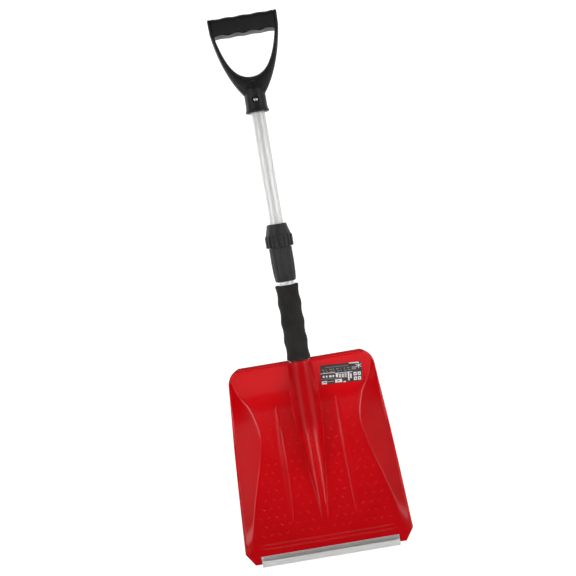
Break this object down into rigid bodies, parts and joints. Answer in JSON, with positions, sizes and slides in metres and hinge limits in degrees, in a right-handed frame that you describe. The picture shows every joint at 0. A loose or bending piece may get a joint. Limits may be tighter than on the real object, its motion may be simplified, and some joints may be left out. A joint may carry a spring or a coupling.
{
  "type": "avalanche shovel",
  "caption": "Telescopic snow shovel: a moulded scoop with a metal cutting edge, a twist-lock two-piece shaft with a foam hand grip, and a D-handle.",
  "frame": {"origin": "middle of the cutting edge's bottom face, which is on the shaft's axis", "axes": "+Z along the shaft, from the cutting edge to the D-handle; +X along the cutting edge, to the label's side; -Y the scoop's open front"},
  "size_m": [0.2656, 0.0499, 0.84],
  "materials": {
    "red_plastic": "gloss, moulded, fine stipple",
    "black_plastic": "satin, fine moulded grain",
    "grey_plastic": "matte, moulded grain",
    "grip_rubber": "matte soft overmould",
    "foam": "matte closed-cell foam",
    "aluminium": "clear anodised, fine drawn lines",
    "steel": "zinc plated",
    "label_film": null
  },
  "bodies": {
    "lower_shaft": {"blade": "red_plastic", "wear_strip": "aluminium", "label": "label_film", "blade_screw_lower": "steel", "blade_screw_upper": "steel", "lower_tube": "aluminium", "lower_tube_plug": "black_plastic", "foam_grip": "foam", "collar_body": "grey_plastic", "collar_set_screw": "steel", "collet": "black_plastic"},
    "clamp_ring": {"clamp_ring": "black_plastic"},
    "clamp_nut": {"clamp_nut": "grey_plastic"},
    "guide_plug": {"guide_plug": "black_plastic"},
    "upper_shaft": {"upper_tube": "aluminium", "handle_yoke": "black_plastic", "grip_sleeve": "grip_rubber", "handle_screw": "steel", "handle_nut": "steel"}
  },
  "joints": [
    {"name": "nut_turn", "type": "hinge", "parent": "clamp_ring", "child": "clamp_nut", "pos_m": [0, 0, 0.5], "axis": [0, 0, 1], "range_deg": [0, 180]},
    {"name": "clamp_ring_slide", "type": "slide", "parent": "lower_shaft", "child": "clamp_ring", "axis": [0, 0, 1], "range_m": [0, 0.0015]},
    {"name": "shaft_slide", "type": "slide", "parent": "lower_shaft", "child": "guide_plug", "axis": [0, 0, -1], "range_m": [0, 0.155]},
    {"name": "shaft_turn", "type": "hinge", "parent": "guide_plug", "child": "upper_shaft", "pos_m": [0, 0, 0.41], "axis": [0, 0, 1], "continuous": true}
  ],
  "couplings": [
    {"joint": "nut_turn", "follows": "clamp_ring_slide", "rad_per_m": 2094}
  ]
}
